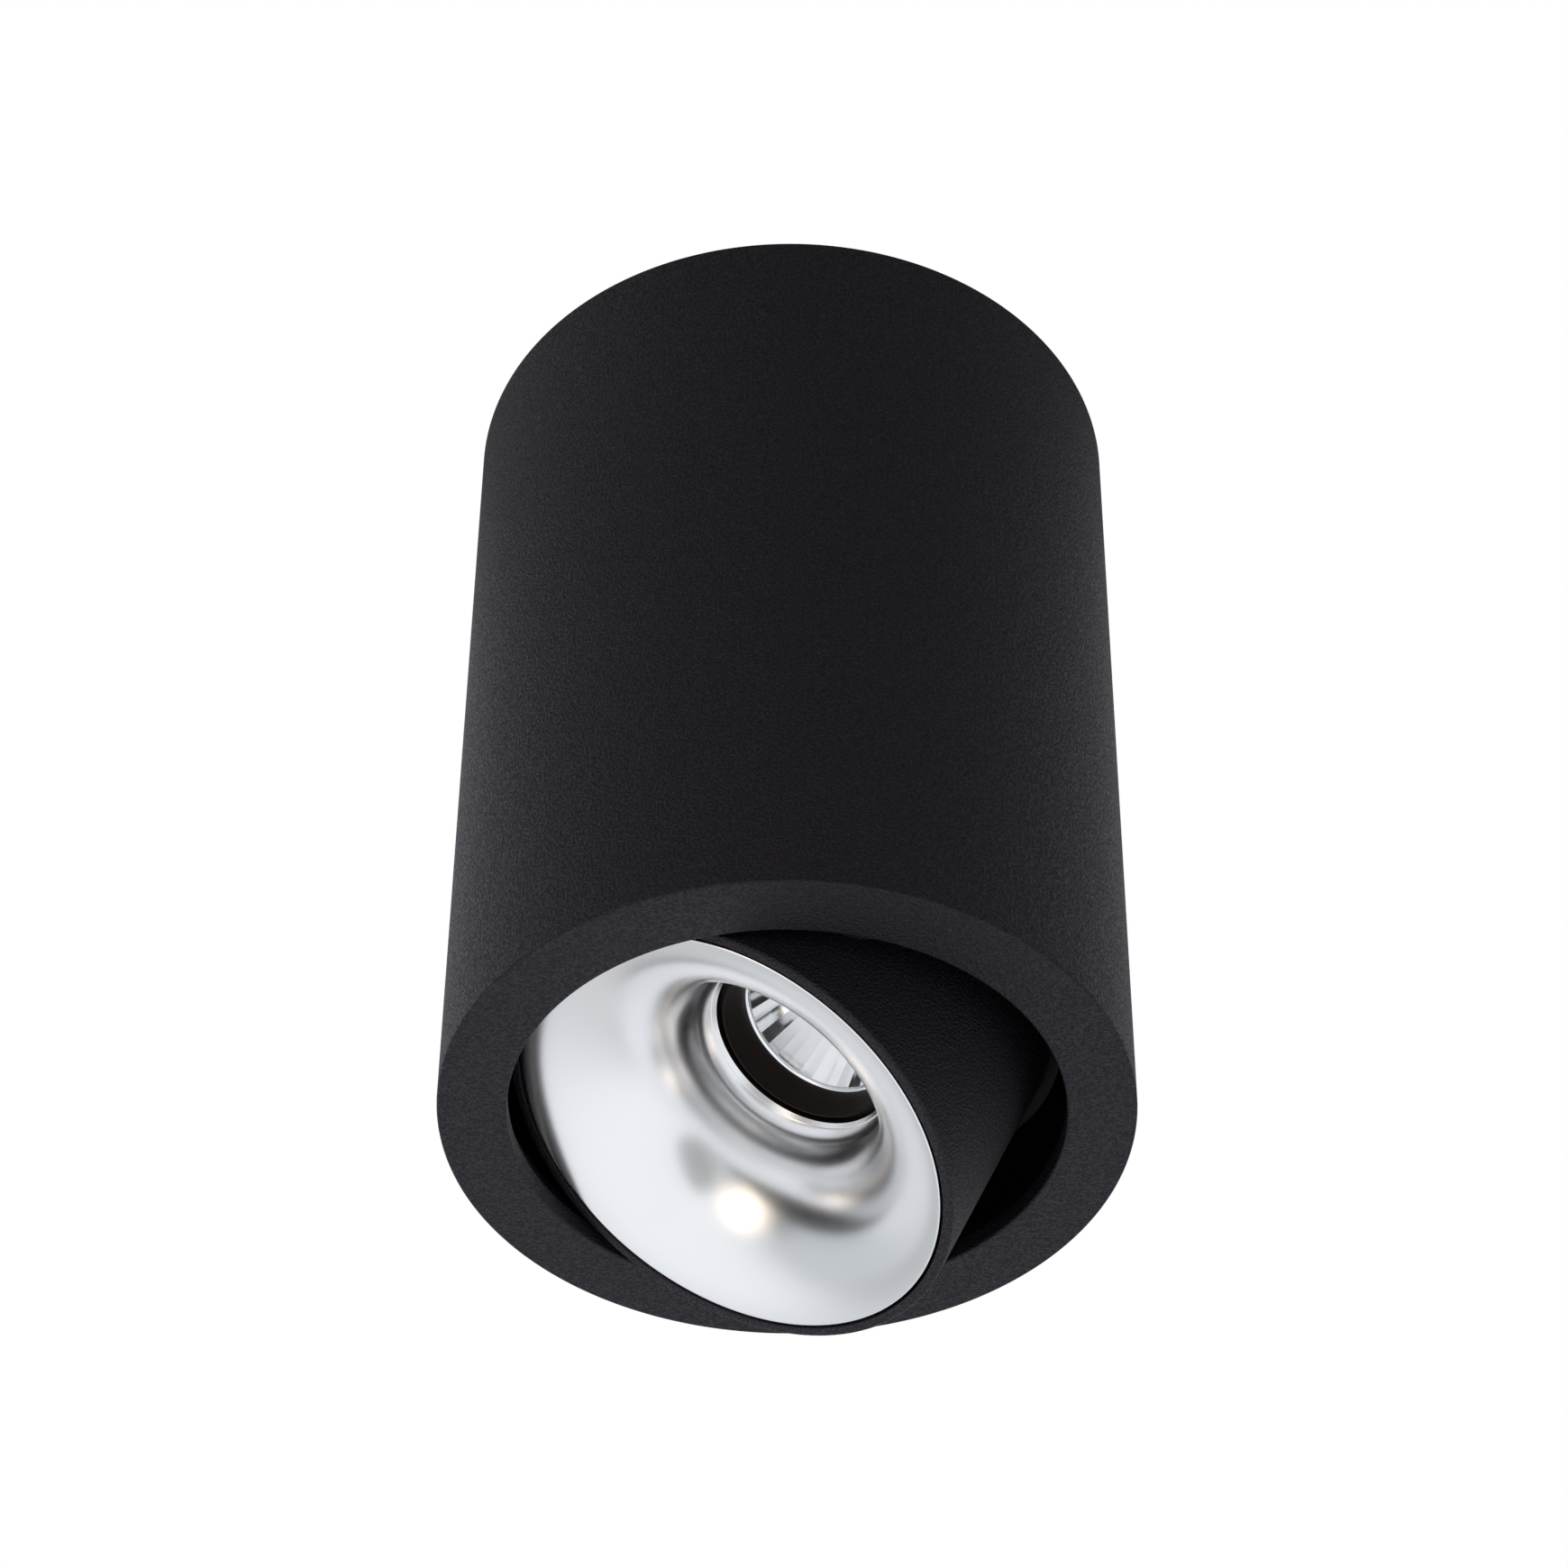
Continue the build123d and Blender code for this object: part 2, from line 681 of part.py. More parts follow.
with BuildPart() as driver_screws:
    with BuildSketch(Plane.XZ.offset(tongue_back)):
        with Locations(*[(0, height) for height in driver_screw_heights]):
            Circle(m3_radius)
    extrude(amount=-plate_thickness - screw_bite)
    with BuildSketch(Plane.XZ.offset(tongue_back)):
        with Locations(*[(0, height) for height in driver_screw_heights]):
            Circle(m3_head_radius)
    extrude(amount=m3_head_height)

# Terminal block under the plate: wire holes through it, screw wells from below, slits between poles
block_bottom = -plate_thickness - block_height
with BuildPart() as terminal_block:
    with BuildSketch(Plane.XY.offset(-plate_thickness)):
        with Locations((0, block_offset)):
            Rectangle(block_poles * block_pitch, block_depth)
    extrude(amount=-block_height)
    with BuildSketch(Plane.XZ.offset(-block_offset)):
        with Locations((0, -plate_thickness - block_wire_drop)):
            with GridLocations(block_pitch, 0, block_poles, 1):
                Circle(block_wire_radius)
    extrude(amount=block_depth / 2, both=True, mode=Mode.SUBTRACT)
    with BuildSketch(Plane.XY.offset(block_bottom)):
        with Locations((0, block_offset)):
            with GridLocations(block_pitch, block_screw_spacing, block_poles, 2):
                Circle(block_screw_radius + block_well_fit)
    extrude(amount=block_well_depth, mode=Mode.SUBTRACT)
    with BuildSketch(Plane.XY.offset(block_bottom)):
        with Locations((0, block_offset)):
            with GridLocations(block_pitch, 0, block_poles - 1, 1):
                Rectangle(block_slit, block_depth)
    extrude(amount=block_slit_depth, mode=Mode.SUBTRACT)

with BuildPart() as terminal_screws:
    with BuildSketch(Plane.XY.offset(block_bottom + block_well_depth)):
        with Locations((0, block_offset)):
            with GridLocations(block_pitch, block_screw_spacing, block_poles, 2):
                Circle(block_screw_radius)
    extrude(amount=-block_screw_height)

pieces = {
    "housing": housing,
    "glide_ring": glide_ring,
    "snap_ring": snap_ring,
    "turntable": turntable,
    "friction_washers": friction_washers,
    "head_shell": head_shell,
    "reflector": reflector,
    "baffle_ring": baffle_ring,
    "faceted_optic": faceted_optic,
    "led_holder": led_holder,
    "led_board": led_board,
    "led_emitter": led_emitter,
    "thermal_pad": thermal_pad,
    "heat_sink": heat_sink,
    "lead_bush": lead_bush,
    "holder_screws": holder_screws,
    "sink_screws": sink_screws,
    "pivot_screws": pivot_screws,
    "spring_washers": spring_washers,
    "tilt_stop_pins": tilt_stop_pins,
    "ceiling_plate": ceiling_plate,
    "set_screws": set_screws,
    "cable_bush": cable_bush,
    "driver_case": driver_case,
    "driver_lid": driver_lid,
    "driver_screws": driver_screws,
    "terminal_block": terminal_block,
    "terminal_screws": terminal_screws,
}
for name, piece in pieces.items():
    piece.part.label = name
    export_step(piece.part, f"parts/{name}.step")

print(f"body diameter {2 * body_radius:.2f}, mouth radius {mouth_radius:.2f}, rim radius {rim_radius:.2f}")
print(f"pivot height {pivot_height:.2f}, heat sink radius {sink_radius:.2f}, tilt axis {-head.y_dir}")
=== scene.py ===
import json
import math

import bmesh
import bpy
from mathutils import Matrix, Quaternion, Vector
from mathutils.geometry import convex_hull_2d


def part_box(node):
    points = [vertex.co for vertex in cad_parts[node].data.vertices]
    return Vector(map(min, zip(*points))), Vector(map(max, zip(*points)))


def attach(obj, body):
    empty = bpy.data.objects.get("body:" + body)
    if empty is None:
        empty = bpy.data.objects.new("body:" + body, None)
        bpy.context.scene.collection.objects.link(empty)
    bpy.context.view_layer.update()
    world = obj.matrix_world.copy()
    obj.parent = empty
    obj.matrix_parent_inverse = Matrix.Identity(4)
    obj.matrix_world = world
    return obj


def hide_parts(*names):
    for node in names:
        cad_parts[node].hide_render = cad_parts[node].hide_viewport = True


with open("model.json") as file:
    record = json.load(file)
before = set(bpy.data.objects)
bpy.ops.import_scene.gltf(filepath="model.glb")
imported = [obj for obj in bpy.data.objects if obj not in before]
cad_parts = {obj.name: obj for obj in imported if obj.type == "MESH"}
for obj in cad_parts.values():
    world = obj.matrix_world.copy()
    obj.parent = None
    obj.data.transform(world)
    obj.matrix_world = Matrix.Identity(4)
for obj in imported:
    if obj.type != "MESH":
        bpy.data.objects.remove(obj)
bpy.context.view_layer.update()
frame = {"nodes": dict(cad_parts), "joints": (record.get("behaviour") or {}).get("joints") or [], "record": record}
mm = 0.001  # sizes below are millimetres, the scene is in metres
nodes = frame["nodes"]
print("frame loaded:", len(nodes), "nodes")

# Where the head sits: the tilt joint gives its pivot, its axis and how far it leans from straight down
tiltJoint = next(joint for joint in frame["joints"] if joint["name"] == "head_tilt")
pivot = Vector(tiltJoint["pos_m"])
lean = math.radians(-tiltJoint["range_deg"][0])
headBack = Quaternion(Vector(tiltJoint["axis"]), lean) @ Vector((0, 0, 1))
headSide = -Vector(tiltJoint["axis"])
headAim = headSide.cross(headBack)
headPlace = Matrix((headAim, headSide, headBack)).transposed().to_4x4()
headPlace.translation = pivot
housingPlace = Matrix.Identity(4)


def addObject(name, data):
    made = bpy.data.objects.new(name, data)
    bpy.context.scene.collection.objects.link(made)
    return made


# Colours and nodes
def linear(hexColour):
    # sRGB hex to linear red, green, blue and a full alpha
    parts = [int(hexColour[i:i + 2], 16) / 255 for i in (1, 3, 5)]
    return tuple(c / 12.92 if c <= 0.04045 else ((c + 0.055) / 1.055) ** 2.4 for c in parts) + (1.0,)


def addNode(tree, kind, settings=None, links=None):
    made = tree.nodes.new(kind)
    for key, value in (settings or {}).items():
        if isinstance(key, int) or key in made.inputs:
            made.inputs[key].default_value = value
        else:
            setattr(made, key, value)
    for key, source in (links or {}).items():
        tree.links.new(source, made.inputs[key])
    return made


def emptyTree(owner):
    # node tree of a material or a world, cleared
    owner.use_nodes = True
    owner.node_tree.nodes.clear()
    return owner.node_tree


def startMaterial(name, surface):
    material = bpy.data.materials.new(name)
    tree = emptyTree(material)
    shader = addNode(tree, "ShaderNodeBsdfPrincipled", surface)
    addNode(tree, "ShaderNodeOutputMaterial", links={"Surface": shader.outputs[0]})
    place = addNode(tree, "ShaderNodeTexCoord").outputs["Object"]
    return material, tree, shader, place


def perMm(size):
    return 1 / (size * mm)  # texture scale for a pattern whose cells are this many millimetres


def varySurface(tree, shader, amount, shades, roughness, height=None, depth=0.0):
    # colour and roughness drift between two limits with one pattern, and the height lifts the surface
    dark, light = [linear(shade) for shade in shades]
    colour = addNode(tree, "ShaderNodeMix", {"data_type": "RGBA", 6: dark, 7: light}, {0: amount})
    tree.links.new(colour.outputs[2], shader.inputs["Base Color"])
    first, last = roughness
    dulled = addNode(tree, "ShaderNodeMapRange", {"To Min": first, "To Max": last}, {"Value": amount})
    tree.links.new(dulled.outputs[0], shader.inputs["Roughness"])
    if height is not None:
        bump = addNode(tree, "ShaderNodeBump", {"Strength": 1.0, "Distance": depth * mm}, {"Height": height})
        tree.links.new(bump.outputs[0], shader.inputs["Normal"])


# Finishes
noiseDetail = 3.0
metal = {"Metallic": 1.0}
# the real grain is about 0.2 mm wide and shallower: drawn coarser and deeper so that it shows
coat = {
    "grain": 0.4, "grainDepth": 0.42, "speckFrom": 0.4, "speckTo": 0.66,
    "shades": ("#060506", "#211E24"), "roughness": (0.66, 0.32), "gloss": 0.42, "glossTint": "#F6EEFF",
}


def texturedPowderCoat():
    # polyester powder, sprayed and baked on: a fine hard grain breaks the gloss into a dull speckled black
    material, tree, shader, place = startMaterial("texturedPowderCoat", {
        "Specular IOR Level": coat["gloss"], "Specular Tint": linear(coat["glossTint"])})
    grain = addNode(tree, "ShaderNodeTexNoise", {
        "Scale": perMm(coat["grain"]), "Detail": noiseDetail}, {"Vector": place}).outputs[0]
    speck = addNode(tree, "ShaderNodeMapRange", {
        "From Min": coat["speckFrom"], "From Max": coat["speckTo"]}, {"Value": grain}).outputs[0]
    varySurface(tree, shader, speck, coat["shades"], coat["roughness"], grain, coat["grainDepth"])
    return material


satin = {"cloud": 14.0, "shades": ("#F5F5F6", "#F9F9F9"), "roughness": (0.22, 0.25)}


def satinAluminium():
    # spun aluminium, etched satin and clear anodised: a soft blurred mirror, very slightly uneven
    material, tree, shader, place = startMaterial("satinAluminium", metal)
    cloud = addNode(tree, "ShaderNodeTexNoise", {
        "Scale": perMm(satin["cloud"]), "Detail": noiseDetail}, {"Vector": place}).outputs[0]
    varySurface(tree, shader, cloud, satin["shades"], satin["roughness"])
    return material


def grainedFinish(name, surface, shades, roughness, grain, depth, stretch=(1, 1, 1)):
    # one noise drives the colour, the roughness and the relief, with grain and depth in millimetres
    # grains of 0.3 mm and less are drawn coarser than the real ones so that they show
    material, tree, shader, place = startMaterial(name, surface)
    sized = addNode(tree, "ShaderNodeMapping", {"Scale": stretch}, {"Vector": place})
    noise = addNode(tree, "ShaderNodeTexNoise", {
        "Scale": perMm(grain), "Detail": noiseDetail}, {"Vector": sized.outputs[0]}).outputs[0]
    varySurface(tree, shader, noise, shades, roughness, noise, depth)
    return material


finishes = {
    "black_powder_coat": texturedPowderCoat(),
    "satin_aluminium": satinAluminium(),
    # moulded polycarbonate, aluminium vapour on its facets: a bright mirror with a trace of flow
    "mirror_facets": grainedFinish(
        "metallisedPolycarbonate", metal, ("#F2F3F4", "#F8F8F8"),
        roughness=(0.05, 0.09), grain=1.6, depth=0.004),
    # moulded polycarbonate with a spark eroded skin: warm brown black, a faint sheen
    "black_plastic": grainedFinish(
        "mouldedBlackPolycarbonate", {"Specular IOR Level": 0.22}, ("#140C09", "#1D130F"),
        roughness=(0.45, 0.6), grain=0.25, depth=0.01),
    # extruded and turned aluminium, etched and black anodised: dark satin with a fine even tooth
    "black_anodised": grainedFinish(
        "blackAnodisedAluminium", {"Specular IOR Level": 0.25}, ("#070505", "#0E0B0B"),
        roughness=(0.45, 0.56), grain=0.2, depth=0.006),
    # pressed steel under black electrocoat: thin, even and half gloss, with the rolled skin showing through
    "black_steel": grainedFinish(
        "electrocoatedSteel", {"Specular IOR Level": 0.4}, ("#0B0B0C", "#141415"),
        roughness=(0.38, 0.48), grain=0.5, depth=0.006),
    # moulded white polycarbonate with a spark eroded skin: eggshell white, no hard highlights
    "white_plastic": grainedFinish(
        "mouldedWhitePolycarbonate", {"IOR": 1.58}, ("#DEDDD8", "#E8E7E3"),
        roughness=(0.42, 0.55), grain=0.3, depth=0.008),
    # moulded natural polyamide: milky cream, a little light goes in, waxy sheen
    "nylon": grainedFinish(
        "mouldedPolyamide", {"IOR": 1.53, "Subsurface Weight": 0.15, "Subsurface Scale": 0.001},
        ("#DAD5C6", "#E6E2D6"), roughness=(0.34, 0.45), grain=1.2, depth=0.01),
    # cold rolled steel, zinc plated and blue passivated: bright grey that drifts from blue to straw
    "zinc_steel": grainedFinish(
        "zincPlatedSteel", metal, ("#B9BEC4", "#CFCBBB"),
        roughness=(0.24, 0.4), grain=2.5, depth=0.004),
    # hardened spring strip, oil blackened: dark blue grey, fine lines along the rolling
    "spring_steel": grainedFinish(
        "temperedSpringSteel", metal, ("#55585E", "#6E7177"),
        roughness=(0.28, 0.4), grain=0.35, depth=0.004, stretch=(0.15, 1, 1)),
    # moulded rubber with a talc bloom: dull charcoal, paler where the bloom lies
    "black_rubber": grainedFinish(
        "mouldedRubber", {"Specular IOR Level": 0.3}, ("#1B1B1B", "#2B2A29"),
        roughness=(0.7, 0.85), grain=0.6, depth=0.02),
    # filled silicone sheet: dull grey, faintly mottled by its filler
    "grey_pad": grainedFinish(
        "filledSilicone", {"IOR": 1.41}, ("#9FA2AA", "#B0B2B8"),
        roughness=(0.6, 0.75), grain=0.4, depth=0.01),
    # aluminium board under white solder mask: clean satin white, slight orange peel
    "light_board": grainedFinish(
        "solderMaskedBoard", {"IOR": 1.5, "Coat Weight": 0.2}, ("#E9E9E4", "#F1F1EE"),
        roughness=(0.3, 0.4), grain=0.8, depth=0.006),
    # phosphor stirred into clear silicone and cured over the chips: wet egg yolk, cloudy inside
    "yellow_phosphor": grainedFinish(
        "phosphorGel", {"IOR": 1.41, "Coat Weight": 0.6, "Coat Roughness": 0.08}, ("#E8BC3C", "#F4CF58"),
        roughness=(0.3, 0.45), grain=0.7, depth=0.012),
    # free cutting brass, turned and lightly tarnished: warm yellow with fine lathe lines
    "brass": grainedFinish(
        "turnedBrass", metal, ("#C69A4C", "#DDB768"),
        roughness=(0.24, 0.36), grain=0.3, depth=0.004, stretch=(1, 1, 4)),
}
slotOf = {part["node"]: part["material_slot"] for part in frame["record"]["subparts"]}
for nodeName, node in nodes.items():
    node.data.materials.clear()
    node.data.materials.append(finishes[slotOf[nodeName]])
print("finishes made:", len(finishes))

# Shapes
crispAngle = 28  # degrees, edges that turn more than this stay crisp


def rounded(points, steps=6):
    # outline of (radius, height) or (radius, height, round) corners, the rounds turned into arcs
    outline = []
    count = len(points)
    for i, corner in enumerate(points):
        here = Vector(corner[:2])
        if len(corner) < 3:
            outline.append(here)
            continue
        before = (Vector(points[i - 1][:2]) - here).normalized()
        after = (Vector(points[(i + 1) % count][:2]) - here).normalized()
        half = before.angle(after) / 2
        middle = here + (before + after).normalized() * (corner[2] / math.sin(half))
        first = here + before * (corner[2] / math.tan(half)) - middle
        last = here + after * (corner[2] / math.tan(half)) - middle
        sweep = -first.angle_signed(last)
        outline += [middle + Matrix.Rotation(step / steps * sweep, 2) @ first for step in range(steps + 1)]
    return outline


def joinLoops(work, loops, closed=True):
    # skin of quads through loops of equally many points
    rings = [[work.verts.new(point) for point in loop] for loop in loops]
    for row in range(0 if closed else 1, len(rings)):
        here, there = rings[row - 1], rings[row]
        for i in range(len(there)):
            work.faces.new((here[i - 1], here[i], there[i], there[i - 1]))
    return rings


def turn(work, outline, segments=256):
    # closed outline of (radius, height) swept once round the axis
    angles = [2 * math.pi * step / segments for step in range(segments)]
    joinLoops(work, [[(r * math.cos(a), r * math.sin(a), h) for a in angles] for r, h in outline])


def circle(middle, radius, count=64):
    angles = [2 * math.pi * i / count for i in range(count)]
    return [Vector((middle[0] + radius * math.cos(a), middle[1] + radius * math.sin(a))) for a in angles]


def addPiece(name, work, place, sharpAngle=crispAngle):
    bmesh.ops.recalc_face_normals(work, faces=work.faces)
    mesh = bpy.data.meshes.new(name)
    work.to_mesh(mesh)
    work.free()
    mesh.transform(place @ Matrix.Scale(mm, 4))
    mesh.polygons.foreach_set("use_smooth", [True] * len(mesh.polygons))
    mesh.set_sharp_from_angle(angle=math.radians(sharpAngle))
    return addObject(name, mesh)


def dress(piece, body, slotName, nodeName):
    piece.data.materials.clear()
    piece.data.materials.append(finishes[slotName])
    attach(piece, body)
    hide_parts(nodeName)
    print("piece made:", piece.name)


# Housing
housing = {
    "wall": 3.0, "lip": 3.0, "mouthRadius": 39.996, "edge": 0.4, "topEdge": 0.2,
    "groove": 1.25, "grooveLow": 6.05, "grooveHigh": 7.15, "screwDrop": 8.0, "screwHole": 2.1,
    "stopAngle": 15, "stopReach": 1.0, "stopWidth": 3.6, "stopTop": 5.9,
}
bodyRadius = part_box("housing")[1].x / mm
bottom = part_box("housing")[0].z / mm
cavityRadius = bodyRadius - housing["wall"]
work = bmesh.new()
turn(work, rounded([
    (housing["mouthRadius"], bottom, housing["edge"]),
    (bodyRadius, bottom, housing["edge"]),
    (bodyRadius, -2 * housing["screwDrop"]),  # loops above and below the screw holes keep the wall smooth
    (bodyRadius, -housing["screwDrop"] / 2),
    (bodyRadius, 0, housing["topEdge"]),
    (cavityRadius, 0, housing["topEdge"]),
    (cavityRadius, -housing["screwDrop"] / 2),
    (cavityRadius, -2 * housing["screwDrop"]),
    (cavityRadius, bottom + housing["grooveHigh"]),
    (cavityRadius + housing["groove"], bottom + housing["grooveHigh"]),
    (cavityRadius + housing["groove"], bottom + housing["grooveLow"]),
    (cavityRadius, bottom + housing["grooveLow"]),
    (cavityRadius, bottom + housing["lip"]),
    (housing["mouthRadius"], bottom + housing["lip"]),
]))
# nub that stops the turntable after almost one turn, its back sunk into the wall
stopAim = Matrix.Rotation(math.radians(housing["stopAngle"]), 4, "Z")
stopHalf, stopLow, stopHigh = housing["stopWidth"] / 2, bottom + housing["lip"], bottom + housing["stopTop"]
stopLoops = []
for radius in (cavityRadius - housing["stopReach"], cavityRadius + housing["stopReach"] / 2):
    corners = [(-stopHalf, stopLow), (stopHalf, stopLow), (stopHalf, stopHigh), (-stopHalf, stopHigh)]
    stopLoops.append([stopAim @ Vector((radius, y, z)) for y, z in corners])
for ring in joinLoops(work, stopLoops, closed=False):
    work.faces.new(ring)
cylinder = addPiece("cylinderHousing", work, housingPlace)

# two drilled holes for the set screws, on the left and right near the ceiling
drill = bmesh.new()
across = Matrix.Translation((0, 0, -housing["screwDrop"])) @ Matrix.Rotation(math.pi / 2, 4, "Y")
bmesh.ops.create_cone(
    drill, cap_ends=True, segments=48, radius1=housing["screwHole"], radius2=housing["screwHole"],
    depth=3 * bodyRadius, matrix=across)  # long enough to pass both walls
drillBit = addPiece("drillBit", drill, housingPlace)
cut = cylinder.modifiers.new("drilled", "BOOLEAN")
cut.object = drillBit
cut.solver = "EXACT"
drilled = cylinder.evaluated_get(bpy.context.evaluated_depsgraph_get())
cylinder.data = bpy.data.meshes.new_from_object(drilled)
cylinder.modifiers.clear()
cylinder.data.set_sharp_from_angle(angle=math.radians(crispAngle))
bpy.data.objects.remove(drillBit)
dress(cylinder, "body", "black_powder_coat", "housing")

# Head shell, heights along the head's axis from the tilt axis
shell = {
    "rimRadius": 36.005, "rimWidth": 1.6, "rimRound": 0.45, "rimInnerRound": 0.15, "endRadius": 31.25,
    "wall": 2.2, "mouth": -18.1, "ledge": -14.1, "flangeFront": 20.5, "end": 23.0, "bore": 23.9,
    "bossRadius": 6.0, "bossStart": 31.5, "bossFace": 40.498, "bossEdge": 0.3,
    "stopRing": 6.5, "stopBoss": 2.6, "halfTravel": 15,
}


def shellRadius(height):
    share = (height - shell["mouth"]) / (shell["end"] - shell["mouth"])
    return shell["rimRadius"] + share * (shell["endRadius"] - shell["rimRadius"])


def pivotBoss(work, side):
    # egg shaped boss: round for the pivot screw, drawn out to the stop pin, its outer edge bevelled
    half = math.radians(shell["halfTravel"])
    pin = (shell["stopRing"] * math.sin(half), shell["stopRing"] * math.cos(half))
    bevel, face = shell["bossEdge"], shell["bossFace"]
    loops = []
    for inset, reach in ((0, shell["bossStart"]), (0, face - bevel), (bevel, face)):
        points = circle((0, 0), shell["bossRadius"] - inset) + circle(pin, shell["stopBoss"] - inset)
        egg = [points[i] for i in convex_hull_2d(points)]
        loops.append([(p.x, side * reach, p.y) for p in egg])
    count = min(len(loop) for loop in loops)
    rings = joinLoops(work, [loop[:count] for loop in loops], closed=False)
    work.faces.new(rings[-1])


rimInside = shell["rimRadius"] - shell["rimWidth"]
work = bmesh.new()
turn(work, rounded([
    (rimInside, shell["mouth"], shell["rimInnerRound"]),
    (shell["rimRadius"], shell["mouth"], shell["rimRound"]),
    (shell["endRadius"], shell["end"]),
    (shell["bore"], shell["end"]),
    (shell["bore"], shell["flangeFront"]),
    (shellRadius(shell["flangeFront"]) - shell["wall"], shell["flangeFront"]),
    (shellRadius(shell["ledge"]) - shell["wall"], shell["ledge"]),
    (rimInside, shell["ledge"]),
]))
for side in (1, -1):
    pivotBoss(work, side)
spotShell = addPiece("spotShell", work, headPlace)
dress(spotShell, "head", "black_powder_coat", "head_shell")

# Bell reflector
bell = {
    "sheet": 1.0, "neckHole": 14.45, "neckBack": 4.85, "seatRadius": 15.6, "seatFront": 3.35,
    "neckRadius": 16.1, "neckFront": 1.9, "flareStart": 4.2, "mouthRadius": 34.005, "mouth": -18.1,
    "skirt": -14.1, "lipRound": 0.2, "flareSteps": 60,
    "line": 0.12, "linePlace": 0.55,  # turned line: half its width and its depth, and its place on the seat
}


def flare(start, end, steps):
    # arc that leaves the neck almost along the axis and opens to the mouth
    slope = math.radians(bell["flareStart"])
    outward = Vector((math.cos(slope), math.sin(slope)))
    chord = Vector(end) - Vector(start)
    radius = chord.length_squared / (2 * chord.dot(outward))
    centre = Vector(start) + outward * radius
    first, last = Vector(start) - centre, Vector(end) - centre
    sweep = -first.angle_signed(last)
    return [tuple(centre + Matrix.Rotation(sweep * step / steps, 2) @ first) for step in range(steps + 1)]


def seatPoint(along, deep=0):
    # point of the turned line, so many half widths along the seat and so many depths into the metal
    outer = Vector((bell["seatRadius"], bell["seatFront"]))
    slope = Vector((bell["neckHole"], bell["neckBack"])) - outer
    way = slope.normalized()
    offset = way * along + Vector((way.y, -way.x)) * deep
    return tuple(outer + slope * bell["linePlace"] + offset * bell["line"])


neckOutside = bell["neckRadius"] + bell["sheet"]
skirtInside = bell["mouthRadius"] - bell["sheet"]
mouthEdge = (bell["mouthRadius"], bell["mouth"])
inside = flare((bell["neckRadius"], bell["neckFront"]), mouthEdge, bell["flareSteps"])
outside = flare(
    (neckOutside, bell["neckFront"]), (skirtInside, bell["mouth"] + bell["sheet"]), bell["flareSteps"] // 2)
work = bmesh.new()
turn(work, rounded(
    [(neckOutside, bell["neckBack"]), (bell["neckHole"], bell["neckBack"])]
    + [seatPoint(1), seatPoint(0, 1), seatPoint(-1)]
    + [(bell["seatRadius"], bell["seatFront"])]
    + inside[:-1] + [mouthEdge + (bell["lipRound"],)]
    + [(bell["mouthRadius"], bell["skirt"]), (skirtInside, bell["skirt"])]
    + outside[::-1]
))
bellReflector = addPiece("bellReflector", work, headPlace)
dress(bellReflector, "head", "satin_aluminium", "reflector")

# Baffle ring: black cone with a dark groove between it and the bell
baffle = {
    "front": 4.85, "grooveRadius": 14.45, "grooveDepth": 1.2, "mouthRadius": 13.15, "ridge": 0.3,
    "landFront": 9.1, "optic": 9.7, "landRadius": 12.6, "bore": 13.6, "radius": 17.4, "back": 19.0,
    "edge": 0.12,
}
ridgeRadius = baffle["mouthRadius"] + baffle["ridge"]
grooveFloor = baffle["front"] + baffle["grooveDepth"]
work = bmesh.new()
turn(work, rounded([
    (baffle["grooveRadius"], grooveFloor),
    (baffle["grooveRadius"], baffle["front"]),
    (baffle["radius"], baffle["front"]),
    (baffle["radius"], baffle["back"]),
    (baffle["bore"], baffle["back"]),
    (baffle["bore"], baffle["optic"]),
    (baffle["landRadius"], baffle["optic"]),
    (baffle["landRadius"], baffle["landFront"]),
    (baffle["mouthRadius"], baffle["front"], baffle["edge"]),
    (ridgeRadius, baffle["front"], baffle["edge"]),
    (ridgeRadius, grooveFloor),
]))
baffleRing = addPiece("baffleRing", work, headPlace)
dress(baffleRing, "head", "black_plastic", "baffle_ring")

# Faceted optic: flat mirror facets inside a round cup, with a rounded lip in front
optic = {
    "radius": 11.8, "facetFrontRadius": 11.85, "rearRadius": 6.5, "front": 9.7, "back": 21.2, "wall": 0.9,
    "lipRound": 0.6, "lipRadius": 13.5, "lipBack": 10.7, "columns": 36, "rows": 4, "perColumn": 4,
    "lipSteps": 24, "crispAngle": 4,
}
facetFront = optic["front"] + optic["lipRound"]
facetLength = optic["back"] - facetFront


def facetRadius(height):
    share = (height - facetFront) / facetLength
    first, last = optic["facetFrontRadius"] ** 2, optic["rearRadius"] ** 2
    return math.sqrt(first + share * (last - first))


def roundLoop(radius, height):
    points = circle((0, 0), radius, optic["columns"] * optic["perColumn"])
    return [(p.x, p.y, height) for p in points]


def facetLoop(height):
    # polygon with one flat side for each column of facets
    columns, fine = optic["columns"], optic["perColumn"]
    corners = circle((0, 0), facetRadius(height) / math.cos(math.pi / columns), columns)
    loop = []
    for c in range(columns):
        loop += [corners[c].lerp(corners[(c + 1) % columns], f / fine) for f in range(fine)]
    return [(p.x, p.y, height) for p in loop]


